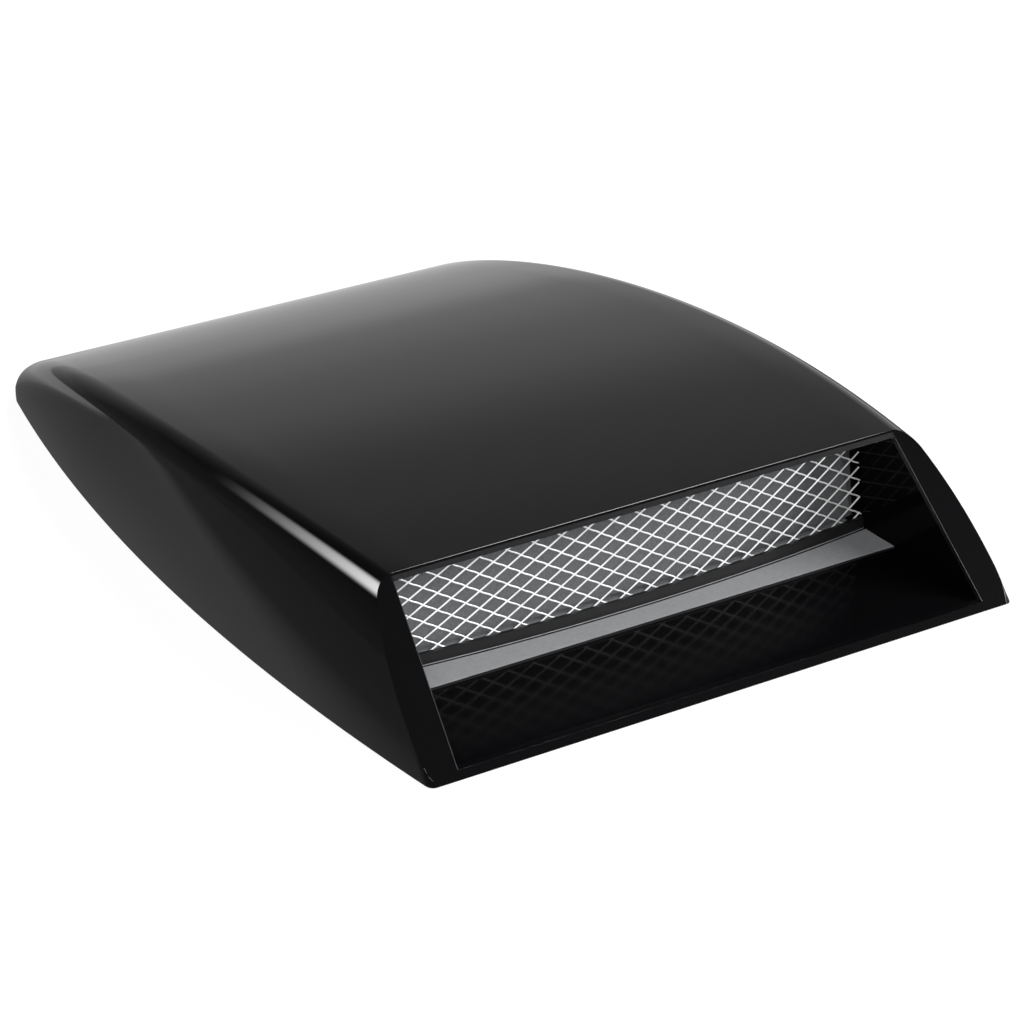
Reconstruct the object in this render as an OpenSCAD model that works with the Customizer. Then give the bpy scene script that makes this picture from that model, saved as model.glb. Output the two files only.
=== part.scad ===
// Bonnet vent: a gloss black moulded scoop with a raked mouth, a recessed duct tray
// and an expanded-metal mesh, held on the bonnet by foam tape round its rim.
// X is the width, +Y runs from the mouth to the tail, +Z is up. The origin is on the
// bonnet, under the middle of the rim.

/* [Shell] */
// Width of the rim across the mouth
mouth_w = 280; // [250:1:320]
// Length of the rim from the mouth's lower lip to the tail
body_l = 419; // [380:1:460]
// Height of the roof's edge over the mouth, above the rim
mouth_h = 59.5; // [52:0.5:70]
// How far the roof's edge lies behind the lower lip
lip_setback = 60; // [48:1:70]
// Wall of the moulding
wall = 2.2; // [1.8:0.1:3]
// How far the roof keeps the direction it has at the mouth
roof_lead = 171; // [140:1:190]
// Rise of the roof over that stretch
roof_rise = 12.3; // [6:0.1:18]
// How far ahead of the tail the roof starts to turn down
tail_lead = 26; // [18:1:40]
// Height from which the roof turns down to the tail
tail_drop = 39.7; // [30:0.1:48]
// Height of the tail's upright edge
tail_edge = 2.9; // [2.4:0.1:5]
// Width of the rim at the tail, before its corners are rounded
tail_w = 225; // [190:1:250]
// Radius of the tail's corners in plan
tail_r = 17.5; // [12:0.5:26]
// How far each side bows outwards at mid length
side_bow = 10.6; // [4:0.1:16]
// How far each flank leans in between the rim and the roof
flank_lean = 12.4; // [8:0.1:18]
// Shape of the flank: 1 is a straight slope, more keeps it upright for longer
flank_curve = 2.4; // [1.6:0.1:3]
// Blend between flank and roof at the mouth
crease_front = 4.4; // [3.5:0.1:6]
// Blend between flank and roof at the tail
crease_rear = 8; // [5:0.1:12]

/* [Mouth frame] */
// Width of each jamb at the rim
jamb_base = 13.5; // [10:0.1:18]
// Width of each jamb at the roof
jamb_top = 19.7; // [17:0.1:24]
// Height of the sill across the bottom of the mouth
sill_h = 2.8; // [2.4:0.1:5]
// Depth of the lip that the roof shows over the mouth
lip_h = 2.4; // [2:0.1:4]
// Thickness of the mouth frame
frame_t = 2.5; // [2:0.1:4]

/* [Duct tray] */
// Thickness of the tray's floor
floor_t = 2.2; // [1.8:0.1:2.4]
// Thickness of the tray's cheeks and back panel
tray_wall = 2; // [1.6:0.1:3]
// Step from the edge of the mouth frame to the cheek behind it
cheek_step = 0.8; // [0.4:0.1:1.5]
// Distance from the lower lip to the foot of the back panel
panel_y = 91; // [89:1:100]
// How far the back panel leans back, in degrees
panel_lean = 10; // [0:1:14]
// Depth of the mesh stops and of the bars that back the mesh
stop_t = 2; // [1.6:0.1:3]
// Play between the tray and the shell
tray_gap = 0.3; // [0.2:0.1:0.6]

/* [Mesh] */
// Distance from the lower lip to the face of the mesh at mid width
mesh_y = 76; // [74:0.5:80]
// How far the middle of the mesh bows towards the mouth
mesh_bow = 8; // [4:0.5:8]
// Thickness of the mesh
mesh_t = 1.2; // [0.8:0.1:1.6]
// Width of one diamond
cell_w = 12.5; // [10:0.1:16]
// Height of one diamond
cell_h = 7.6; // [6:0.1:10]
// Width of the mesh's strands
strand = 0.9; // [0.7:0.1:1.4]
// Play round the mesh where it is clamped
mesh_gap = 0.1; // [0.05:0.05:0.2]
// Width of the plain edge that is left round the mesh
selvedge = 0.7; // [0.5:0.1:1.2]
// Depth of the slots in the cheeks that take the ends of the mesh
slot_d = 1.2; // [1:0.1:1.4]
// Play at the ends of the mesh and of its strips
end_gap = 0.4; // [0.3:0.1:0.6]

/* [Mesh strips] */
// Thickness of the strips that clamp the mesh
strip_t = 1.5; // [1.2:0.1:2]
// Height of the lower strip's upright leg above the floor
leg_h = 6.6; // [6.2:0.1:8]
// Thickness of the lower strip's foot
foot_t = 1.4; // [1.2:0.1:1.8]
// Distance from the lower lip to the front of the foot
foot_y = 61.5; // [58:0.5:66]
// Width of the groove between foot and leg
groove_w = 1.4; // [0.8:0.1:2]
// Height of the top strip
top_strip_h = 7; // [6.5:0.1:9]
// How much of the mesh each strip covers
mesh_lap = 2.4; // [2:0.1:2.6]
// Diameter of the heat-staked pegs
peg_d = 2.4; // [2:0.1:2.6]
// Number of pegs on each strip
peg_count = 6; // [4:1:8]
// Play round each peg
peg_gap = 0.1; // [0.05:0.05:0.2]

/* [Tray screws] */
// Number of screws that hold the tray
screw_count = 4; // [2:1:5]
// Distance between the outermost screws
screw_span = 190; // [150:1:210]
// Diameter of the screws
screw_d = 2.9; // [2.5:0.1:3.5]
// Diameter of the screws' heads
head_d = 5.6; // [5:0.1:6.4]
// Height of the lugs' upper face above the rim
lug_z = 12; // [9:0.5:16]
// Thickness of the lugs
lug_t = 2.4; // [2:0.1:3]
// Length of thread in each boss
thread_l = 8; // [6:0.5:12]

/* [Ribs] */
// Thickness of the ribs
rib_t = 1.6; // [1.2:0.1:2]
// Depth of the ribs under the roof
rib_h = 8; // [5:0.5:12]
// Distance between the ribs that run along the roof
rib_pitch = 52; // [40:1:60]
// Distance between the ribs that run across the roof
cross_pitch = 70; // [50:1:90]
// How far the gussets reach in from the rim
gusset_d = 11; // [9:0.5:14]
// Height of the gussets
gusset_h = 15; // [10:0.5:20]
// Distance between gussets
gusset_pitch = 30; // [22:1:40]

/* [Foam tape] */
// Thickness of the foam tape
tape_t = 0.8; // [0.5:0.1:1.5]
// Width of the foam tape
tape_w = 10; // [8:0.5:12]
// How far the tape stays inside the rim's outer edge
tape_inset = 1.2; // [0.8:0.1:1.8]

/* [Hidden] */

// Steps along the roof, up the flank and round the crease; the inside has fewer
inner_roof_steps = 16;
roof_steps = 2 * inner_roof_steps;
flank_steps = 6;
crease_steps = 6;
inner_crease_steps = 3;
round_fn = 64;
arc_fn = 720;

rake = lip_setback / mouth_h;
frame_depth = frame_t * sqrt(1 + rake * rake);

// Profile of the roof: a cubic curve from the edge over the mouth to the tail
roof_handles = [[lip_setback, mouth_h], [lip_setback + roof_lead, mouth_h + roof_rise],
                [body_l - tail_lead, tail_drop], [body_l, tail_edge]];
function bezier(c, t) = pow(1 - t, 3) * c[0] + 3 * pow(1 - t, 2) * t * c[1]
    + 3 * (1 - t) * t * t * c[2] + pow(t, 3) * c[3];
function bezier_dir(c, t) = 3 * (pow(1 - t, 2) * (c[1] - c[0]) + 2 * (1 - t) * t * (c[2] - c[1])
    + t * t * (c[3] - c[2]));
function roof_at(t) = bezier(roof_handles, t);
// The same profile moved into the moulding by a depth, square to the surface
function roof_inset(t, depth) =
    let (d = bezier_dir(roof_handles, t), n = [d[1], -d[0]] / norm(d)) roof_at(t) + depth * n;
// Curve parameter at which the inset profile passes a given y, by halving
function roof_param(y, depth, lo = 0, hi = 1, n = 26) =
    n == 0 ? (lo + hi) / 2 :
    let (mid = (lo + hi) / 2)
    roof_inset(mid, depth)[0] < y ? roof_param(y, depth, mid, hi, n - 1)
                                  : roof_param(y, depth, lo, mid, n - 1);
function roof_z(y, depth) = roof_inset(roof_param(y, depth), depth)[1];

// Half the width of the rim, without and with the rounded corners of the tail
function side_line(y) = let (v = min(1, max(0, y / body_l)))
    mouth_w / 2 + 4 * side_bow * v * (1 - v) - (mouth_w - tail_w) / 2 * pow(v, 2.2);
function corner_cut(y, r, end) = let (d = min(r, max(0, y - end + r))) r - sqrt(r * r - d * d);
function rim_half(y, depth, end) = side_line(y) - depth - corner_cut(y, max(1, tail_r - depth), end);
function lean_at(z) = flank_lean * pow(max(0, z) / mouth_h, flank_curve);

// One half of a cross-section, from the rim up the flank and over the crease to mid roof
function half_section(w, z, r, flank_n, crease_n) = let (
    lean = flank_lean * z / mouth_h,
    rr = min(r, 0.8 * z),
    flank = [for (k = [0 : flank_n]) let (s = k / flank_n * (1 - rr / z))
             [w - lean * pow(s, flank_curve), s * z]],
    last = flank[flank_n],
    first = [w - lean - rr, z],
    corner = [w - lean, z] * 0.9 + (last + first) * 0.05)
    concat(flank,
           [for (k = [1 : crease_n]) let (s = k / (crease_n + 1))
            pow(1 - s, 2) * last + 2 * (1 - s) * s * corner + s * s * first],
           [first]);
// The whole section as points, with the station sheared from its rim place to its roof place
function section(half, y_rim, y_roof) = let (
    n = len(half), z = half[n - 1][1],
    place = function (p, side) [side * p[0], y_rim + (y_roof - y_rim) * p[1] / z, p[1]])
    concat([for (k = [0 : n - 1]) place(half[k], -1)],
           [for (k = [n - 1 : -1 : 0]) place(half[k], 1)]);
function crease_r(u) = crease_front + (crease_rear - crease_front) * u;

// Outer stations: the first lies in the raked plane of the mouth, the last is the tail's edge
outer_rings = [for (i = [0 : roof_steps]) let (
    p = roof_at(i / roof_steps),
    u = (p[0] - lip_setback) / (body_l - lip_setback),
    y = u * body_l)
    section(half_section(rim_half(y, 0, body_l), p[1], crease_r(u), flank_steps, crease_steps),
            y, p[0])];

// Inner stations: the first lies on the back of the mouth frame
inner_lip_z = mouth_h - wall;
inner_start = frame_depth + rake * inner_lip_z;
inner_end = roof_inset(1, wall)[0];
inner_rings = [for (i = [0 : inner_roof_steps]) let (
    q = roof_inset(i / inner_roof_steps, wall),
    p = i == 0 ? [inner_start, inner_lip_z] : q,
    u = (p[0] - inner_start) / (inner_end - inner_start),
    y = frame_depth + u * (inner_end - frame_depth))
    section(half_section(rim_half(y, wall, inner_end), p[1], max(1, crease_r(u) - wall),
                         flank_steps, inner_crease_steps), y, p[0])];

// Mouth opening in the raked plane: half its width at a height, and its four corners
function open_half(z) = mouth_w / 2 - jamb_base - (jamb_top - jamb_base) * z / mouth_h;
open_top = mouth_h - lip_h;
opening = [[-open_half(sill_h), sill_h], [-open_half(open_top), open_top],
           [open_half(open_top), open_top], [open_half(sill_h), sill_h]];
function opening_ring(depth) = [for (p = opening) [p[0], depth + rake * p[1], p[1]]];

// Faces between a stack of open rings: triangles, but one flat face across the roof
function skin_faces(start, rings, count, flip) = [
    for (i = [0 : rings - 2]) for (j = [0 : count - 2])
        let (a = start + i * count + j, b = a + count)
        each turned(j == count / 2 - 1 ? [[a, b, b + 1, a + 1]]
                    : j < count / 2 ? [[a, b, b + 1], [a, b + 1, a + 1]]
                    : [[a, b, a + 1], [a + 1, b, b + 1]], flip)];
function flat(rings) = [for (r = rings) for (p = r) p];
function reversed(list) = [for (k = [len(list) - 1 : -1 : 0]) list[k]];
function turned(faces, flip) = flip ? [for (f = faces) reversed(f)] : faces;
// The mouth frame's face: both jambs as fans of triangles, then the lip and the sill
function frame_faces(o, count, m, flip) = let (
    h = count / 2, r = o + count - 1, low = flank_steps / 2)
    turned(concat(
        [for (k = [0 : low - 1]) [o + k, o + k + 1, m]],
        [[o + low, m + 1, m]],
        [for (k = [low : h - 2]) [o + k, o + k + 1, m + 1]],
        [for (k = [0 : low - 1]) [m + 3, r - k - 1, r - k]],
        [[m + 3, m + 2, r - low]],
        [for (k = [low : h - 2]) [m + 2, r - k - 1, r - k]],
        [[o + h - 1, o + h, m + 2, m + 1], [o, m, m + 3, r]]), flip);
// The upright end of a stack of rings, from its first point to its last
function end_faces(o, count, flip) = turned(
    [for (k = [0 : count / 2 - 2]) [o + k, o + k + 1, o + count - 2 - k, o + count - 1 - k]], flip);

// The moulded skin: roof, flanks, tail and mouth frame as one closed wall, open underneath
module shell_skin() {
    no = len(outer_rings[0]);
    ni = len(inner_rings[0]);
    nm = len(opening);
    in0 = len(outer_rings) * no;
    m0 = in0 + len(inner_rings) * ni;
    m1 = m0 + nm;
    tail_out = in0 - no;
    tail_in = m0 - ni;
    polyhedron(
        points = concat(flat(outer_rings), flat(inner_rings), opening_ring(0),
                        opening_ring(frame_depth)),
        faces = concat(
            skin_faces(0, len(outer_rings), no, false),
            skin_faces(in0, len(inner_rings), ni, true),
            frame_faces(0, no, m0, false),
            frame_faces(in0, ni, m1, true),
            [for (k = [0 : nm - 1]) let (n = (k + 1) % nm) [m0 + k, m0 + n, m1 + n, m1 + k]],
            end_faces(tail_out, no, true),
            end_faces(tail_in, ni, false),
            // Underside of the sill and of the tail
            [[0, no - 1, in0 + ni - 1, in0],
             [tail_in, tail_in + ni - 1, tail_out + no - 1, tail_out]],
            // Underside of the left and right wall
            [for (i = [0 : inner_roof_steps - 1]) let (a = in0 + i * ni, b = 2 * i * no)
                each [[a, b + no, b], [a, a + ni, b + no], [a + ni, b + 2 * no, b + no]]],
            [for (i = [0 : inner_roof_steps - 1])
                let (a = in0 + (i + 1) * ni - 1, b = (2 * i + 1) * no - 1)
                each [[b, b + no, a], [b + no, a + ni, a], [b + no, b + 2 * no, a + ni]]]),
        convexity = 6);
}

// Places shared by the tray, its screws and the bosses
lean_shift = tan(panel_lean);
boss_d = screw_d + 4.2;
screw_y = panel_y + lean_shift * mouth_h + tray_wall + boss_d / 2 + 1;
screw_xs = [for (k = [0 : screw_count - 1]) screw_span * (k / (screw_count - 1) - 0.5)];
screw_fit = 0.1;

module along_y_z(points, width) {
    rotate([90, 0, 90]) linear_extrude(width, center = true) polygon(points);
}

// A rib under the roof, from just inside the skin to its free edge
module roof_rib(x, t0, t1) {
    steps = 12;
    ts = [for (k = [0 : steps]) t0 + (t1 - t0) * k / steps];
    translate([x, 0, 0])
        along_y_z(concat([for (t = ts) roof_inset(t, wall / 2)],
                         reversed([for (t = ts) roof_inset(t, wall + rib_h)])), rib_t);
}
rib_front = screw_y + boss_d;
rib_rear = body_l - 75;
rib_xs = [-1.5, -0.5, 0.5, 1.5] * rib_pitch;

module cross_rib(y) {
    top = roof_z(y, wall / 2);
    low = roof_z(y, wall) - rib_h;
    half = rim_half(y, wall, body_l) - flank_lean - crease_rear - rib_t;
    translate([-half, y - rib_t / 2, low]) cube([2 * half, rib_t, top - low]);
}
cross_count = floor((rib_rear - rib_front) / cross_pitch);
cross_ys = [for (k = [0 : cross_count]) rib_front + rib_t + k * cross_pitch];

// A gusset stands on the rim plane and carries the tape; the left side is the pattern
module side_gusset(y) {
    w = rim_half(y, 0, body_l);
    translate([0, y, 0]) rotate([90, 0, 0]) linear_extrude(rib_t, center = true)
        polygon([[-w + wall / 2, gusset_rise], [-w + gusset_d, gusset_rise],
                 [-w + gusset_d, gusset_rise + 3],
                 [-w + wall + lean_at(gusset_h) + 1, gusset_h],
                 [-w + wall / 2 + lean_at(gusset_h), gusset_h]]);
}
gusset_rise = 0.2;
gusset_front = screw_y + 12;
gusset_rear = body_l - tail_r - gusset_pitch;
gusset_count = floor((gusset_rear - gusset_front) / gusset_pitch);
gusset_ys = [for (k = [0 : gusset_count]) gusset_rear - k * gusset_pitch];

module tail_gusset(x) {
    t0 = roof_param(body_l - gusset_d, wall / 2);
    ts = [for (k = [0 : 4]) t0 + (1 - t0) * k / 4];
    translate([x, 0, 0])
        along_y_z(concat([for (t = ts) roof_inset(t, wall / 2)],
                         [[body_l - wall / 2, gusset_rise], [body_l - gusset_d, gusset_rise]]),
                  rib_t);
}
tail_half = tail_w / 2 - tail_r - gusset_pitch / 3;
tail_count = floor(tail_half / gusset_pitch);
tail_xs = [for (k = [-tail_count : tail_count]) k * gusset_pitch];

// A boss hangs from the roof and takes one tray screw from below
module boss(x) {
    top = roof_z(screw_y, wall / 2);
    translate([x, screw_y, lug_z]) cylinder(d = boss_d, h = top - lug_z, $fn = round_fn);
    fin_z = (lug_z + top) / 2;
    translate([x - rib_t / 2, screw_y, fin_z]) cube([rib_t, boss_d, top - fin_z]);
    translate([x - boss_d, screw_y - rib_t / 2, fin_z]) cube([2 * boss_d, rib_t, top - fin_z]);
}

module shell() {
    color("#121214")
    on_bonnet() difference() {
        union() {
            shell_skin();
            for (x = rib_xs) roof_rib(x, roof_param(rib_front, wall), roof_param(rib_rear, wall));
            for (y = cross_ys) cross_rib(y);
            for (side = [0, 1]) mirror([side, 0, 0]) for (y = gusset_ys) side_gusset(y);
            for (x = tail_xs) tail_gusset(x);
            for (x = screw_xs) boss(x);
        }
        for (x = screw_xs) translate([x, screw_y, lug_z - 1])
            cylinder(d = screw_d + screw_fit, h = thread_l + 2, $fn = round_fn);
    }
}

// Everything is built on the rim plane and lifted onto its tape
module on_bonnet() {
    translate([0, -body_l / 2, tape_t]) children();
}

// Half the clear width between the cheeks at a height
function cheek_half(z) = open_half(z) + cheek_step;
// The bowed mesh: its arc's radius, and the middle of that arc
mesh_half = cheek_half(0) + slot_d - end_gap;
bow_r = (mesh_half * mesh_half + mesh_bow * mesh_bow) / (2 * mesh_bow);
bow_y = mesh_y + bow_r;

// Plan of a bowed bar: its front face lies a depth behind the face of the mesh
module bow_plan(depth, t) {
    difference() {
        translate([0, bow_y]) circle(r = bow_r - depth, $fn = arc_fn);
        translate([0, bow_y]) circle(r = bow_r - depth - t, $fn = arc_fn);
        translate([-bow_r, bow_y - bow_r / 2]) square(2 * bow_r);
    }
}
// Space between the cheeks, less a gap, as a solid that runs through the duct
module between_cheeks(gap, z0, z1) {
    translate([0, body_l / 2, 0]) rotate([90, 0, 0]) linear_extrude(body_l / 2)
        polygon([[-cheek_half(z0) + gap, z0], [cheek_half(z0) - gap, z0],
                 [cheek_half(z1) - gap, z1], [-cheek_half(z1) + gap, z1]]);
}
module bowed_bar(depth, t, gap, z0, z1) {
    intersection() {
        translate([0, 0, z0]) linear_extrude(z1 - z0) bow_plan(depth, t);
        between_cheeks(gap, 0, mouth_h);
    }
}
peg_xs = [for (k = [0 : peg_count - 1]) (2 * k / (peg_count - 1) - 1) * (mesh_half - 15)];
function bow_face(x, depth) = bow_y - sqrt(pow(bow_r - depth, 2) - x * x);
bar_depth = mesh_t + mesh_gap;

// Heights of the clamped edges of the mesh
leg_top = floor_t + leg_h;
mesh_low = leg_top - mesh_lap;
strip_top = roof_z(mesh_y, wall) - 3;
strip_low = strip_top - top_strip_h;
mesh_high = strip_low + mesh_lap;
lower_peg_z = (floor_t + mesh_low) / 2;
top_peg_z = (mesh_high + strip_top) / 2;

module peg_holes(z) {
    for (x = peg_xs) translate([x, bow_face(x, bar_depth) - 2, z]) rotate([-90, 0, 0])
        cylinder(d = peg_d + 2 * peg_gap, h = stop_t + 6, $fn = round_fn);
}

// Side outline of the cheeks: raked at the mouth, close under the roof, open at the back
panel_top_y = panel_y + lean_shift * mouth_h;
cheek_steps = 6;
cheek_front = frame_depth + tray_gap;
cheek_z = roof_z(inner_start + tray_gap, wall) - tray_gap;
cheek_start = cheek_front + tray_gap;
cheek_top_y = cheek_start + rake * cheek_z;
cheek_rear_y = panel_top_y + tray_wall / 2;
cheek_profile = concat(
    [[cheek_start + rake * floor_t / 2, floor_t / 2], [cheek_top_y, cheek_z]],
    [for (k = [1 : cheek_steps]) let (y = cheek_top_y + (cheek_rear_y - cheek_top_y) * k / cheek_steps)
        [y, roof_z(y, wall) - tray_gap]],
    [[panel_y + tray_wall / 2, floor_t / 2]]);

module cheek() {
    intersection() {
        along_y_z(cheek_profile, 2 * mouth_w);
        translate([0, body_l / 2, 0]) rotate([90, 0, 0]) linear_extrude(body_l / 2)
            polygon([[cheek_half(0), 0], [cheek_half(0) + tray_wall, 0],
                     [cheek_half(mouth_h) + tray_wall, mouth_h], [cheek_half(mouth_h), mouth_h]]);
    }
}

// Floor: fills the rim between the flanks, with a raked front edge behind the sill
floor_rear = panel_y + tray_wall + 6;
module tray_floor() {
    intersection() {
        along_y_z([[cheek_front, 0], [cheek_front + rake * floor_t, floor_t],
                   [floor_rear, floor_t], [floor_rear, 0]], 2 * mouth_w);
        linear_extrude(2 * floor_t, center = true) {
            ys = [for (k = [0 : 8]) floor_rear * k / 8];
            edge = [for (y = ys) [side_line(y - rake * floor_t) - wall - tray_gap, y]];
            polygon(concat(edge, reversed([for (p = edge) [-p[0], p[1]]])));
        }
    }
}

module back_panel() {
    z_top = roof_z(panel_top_y, wall) - tray_gap;
    intersection() {
        along_y_z([[panel_y, floor_t / 2], [panel_y + tray_wall + 1, floor_t / 2],
                   [panel_y + lean_shift * z_top + tray_wall, z_top],
                   [panel_y + lean_shift * z_top, z_top - lean_shift]], 2 * mouth_w);
        between_cheeks(-tray_wall / 2, 0, mouth_h);
    }
}

// Lug behind the back panel for one screw, joined to the panel by its square end
module lug(x) {
    y0 = panel_y + lean_shift * (lug_z - lug_t) + tray_wall / 2;
    w = head_d + 4;
    translate([x, screw_y, lug_z - lug_t]) cylinder(d = w, h = lug_t, $fn = round_fn);
    translate([x - w / 2, y0, lug_z - lug_t]) cube([w, screw_y - y0, lug_t]);
    for (side = [-1, 1]) translate([x + side * (w - rib_t) / 2, 0, 0])
        along_y_z([[y0, lug_z - lug_t / 2], [screw_y - 1, lug_z - lug_t / 2],
                   [floor_rear - 3, floor_t / 2], [y0, floor_t / 2]], rib_t);
}

// Slots in the cheeks for the ends of the mesh
module mesh_slots() {
    play = 0.3;
    intersection() {
        translate([0, 0, floor_t + 0.5]) linear_extrude(strip_top - floor_t)
            bow_plan(-play, mesh_t + 2 * play);
        difference() {
            between_cheeks(-slot_d, 0, mouth_h);
            between_cheeks(1, -1, mouth_h + 1);
        }
    }
}

// Stops on the cheeks behind the ends of the mesh
module mesh_stops() {
    intersection() {
        difference() {
            translate([0, 0, floor_t]) linear_extrude(strip_top - floor_t) bow_plan(bar_depth, stop_t);
            between_cheeks(3, 0, mouth_h);
        }
        between_cheeks(-tray_wall / 2, 0, mouth_h);
    }
}

module duct_tray() {
    color("#161618")
    on_bonnet() difference() {
        union() {
            tray_floor();
            cheek();
            mirror([1, 0, 0]) cheek();
            back_panel();
            mesh_stops();
            bowed_bar(bar_depth, stop_t, -tray_wall / 2, floor_t / 2, leg_top);
            bowed_bar(bar_depth, stop_t, -tray_wall / 2, strip_low, strip_top);
            for (x = screw_xs) lug(x);
        }
        mesh_slots();
        peg_holes(lower_peg_z);
        peg_holes(top_peg_z);
        for (x = screw_xs) translate([x, screw_y, lug_z - lug_t - 1])
            cylinder(d = screw_d + 0.4, h = lug_t + 2, $fn = round_fn);
    }
}

// Expanded metal: a bowed sheet with staggered diamond openings and a plain edge
function mesh_outline(inset) = let (
    low = mesh_low + inset, high = mesh_high - inset,
    a = cheek_half(low) + slot_d - end_gap - inset,
    b = cheek_half(high) + slot_d - end_gap - inset)
    [[-a, low], [-b, high], [b, high], [a, low]];
function diamond(x, z) = let (
    a = cell_w / 2, b = cell_h / 2, cut = strand / 2 * sqrt(a * a + b * b) / (a * b))
    [[x - a * (1 - cut), z], [x, z - b * (1 - cut)], [x + a * (1 - cut), z], [x, z + b * (1 - cut)]];
// The part of an outline that lies to the right of the line from p to q
function clip(points, p, q) = let (n = [q[1] - p[1], p[0] - q[0]], c = len(points))
    c < 3 ? [] : [for (i = [0 : c - 1]) let (
        a = points[i], b = points[(i + 1) % c], da = (a - p) * n, db = (b - p) * n)
        each concat(da >= 0 ? [a] : [], da * db < 0 ? [a + (b - a) * da / (da - db)] : [])];
function clip_all(points, frame, k = 0) =
    k == len(frame) ? points
    : clip_all(clip(points, frame[k], frame[(k + 1) % len(frame)]), frame, k + 1);
function area(points, k = 0) = let (c = len(points), p = points[k], q = points[(k + 1) % c])
    k == c ? 0 : (p[0] * q[1] - q[0] * p[1]) / 2 + area(points, k + 1);
smallest_opening = 2;
module mesh_face() {
    cols = ceil(mesh_half / cell_w);
    rows = ceil((mesh_high - mesh_low) / cell_h);
    difference() {
        polygon(mesh_outline(0));
        for (i = [-cols : cols]) for (j = [0 : rows]) for (s = [0, 0.5]) {
            opening = clip_all(diamond((i + s) * cell_w, mesh_low + (j + s) * cell_h),
                               mesh_outline(selvedge));
            if (len(opening) > 2 && abs(area(opening)) > smallest_opening) polygon(opening);
        }
    }
}
module mesh() {
    color("#d4d6d8")
    on_bonnet() intersection() {
        translate([0, body_l / 2, 0]) rotate([90, 0, 0]) linear_extrude(body_l / 2) mesh_face();
        translate([0, 0, mesh_low - 1]) linear_extrude(mesh_high - mesh_low + 2) bow_plan(0, mesh_t);
    }
}

// Pegs pass through a bar of the tray and are headed over behind it
module pegs(z) {
    for (x = peg_xs) {
        face = bow_face(x, bar_depth + stop_t);
        front = bow_face(x, -mesh_gap) - strip_t / 2;
        translate([x, front, z]) rotate([-90, 0, 0])
            cylinder(d = peg_d, h = face + mesh_gap + 0.4 - front, $fn = round_fn);
        translate([x, face + mesh_gap + 0.2, z]) rotate([-90, 0, 0])
            cylinder(d1 = peg_d + 1.6, d2 = peg_d, h = 1, $fn = round_fn);
    }
}

module lower_mesh_strip() {
    color("#8c8e90")
    on_bonnet() {
        bowed_bar(-mesh_gap - strip_t, strip_t, end_gap, floor_t, leg_top);
        intersection() {
            translate([0, 0, floor_t]) linear_extrude(foot_t) difference() {
                translate([-mouth_w / 2, foot_y]) square([mouth_w, panel_y - foot_y]);
                translate([0, bow_y]) circle(r = bow_r + mesh_gap + strip_t + groove_w, $fn = arc_fn);
            }
            between_cheeks(end_gap, 0, mouth_h);
        }
        bowed_bar(-mesh_gap - strip_t - groove_w - 0.5, groove_w + 1, end_gap, floor_t, floor_t + 0.5);
        pegs(lower_peg_z);
    }
}

module top_mesh_strip() {
    color("#26272a")
    on_bonnet() {
        bowed_bar(-mesh_gap - strip_t, strip_t, end_gap, strip_low, strip_top);
        pegs(top_peg_z);
    }
}

// Pan-head screws with a cross recess, driven from below through the lugs
module tray_screws() {
    head_h = 2;
    slot = [head_d * 0.6, 0.8, 1];
    color("#9a9ca0")
    on_bonnet() for (x = screw_xs) translate([x, screw_y, lug_z - lug_t - head_h]) difference() {
        union() {
            cylinder(d = head_d, h = head_h, $fn = round_fn);
            cylinder(d = screw_d, h = head_h + lug_t + thread_l, $fn = round_fn);
        }
        for (a = [0, 90]) rotate(a) cube([slot[0], slot[1], 2 * slot[2]], center = true);
    }
}

module front_foam_tape() {
    color("#2c2c2e")
    on_bonnet() translate([-mouth_w / 2 + 22, cheek_front + 1, -tape_t])
        cube([mouth_w - 44, tape_w, tape_t]);
}

// Side tape: follows the rim from behind the front tape to the tail's corner
module side_tape() {
    y0 = cheek_front + 1;
    y1 = body_l - tail_r - 12;
    steps = 24;
    ys = [for (k = [0 : steps]) y0 + (y1 - y0) * k / steps];
    on_bonnet() translate([0, 0, -tape_t]) linear_extrude(tape_t)
        polygon(concat([for (y = ys) [-rim_half(y, tape_inset, body_l), y]],
                       reversed([for (y = ys) [-rim_half(y, tape_inset + tape_w, body_l), y]])));
}
module left_foam_tape() {
    color("#2c2c2e") side_tape();
}
module right_foam_tape() {
    color("#2c2c2e") mirror([1, 0, 0]) side_tape();
}
module rear_foam_tape() {
    half = tail_w / 2 - tail_r - 2;
    color("#2c2c2e")
    on_bonnet() translate([-half, body_l - tape_inset - tape_w, -tape_t])
        cube([2 * half, tape_w, tape_t]);
}

shell();
duct_tray();
mesh();
lower_mesh_strip();
top_mesh_strip();
tray_screws();
front_foam_tape();
left_foam_tape();
right_foam_tape();
rear_foam_tape();
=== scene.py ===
import math

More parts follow.
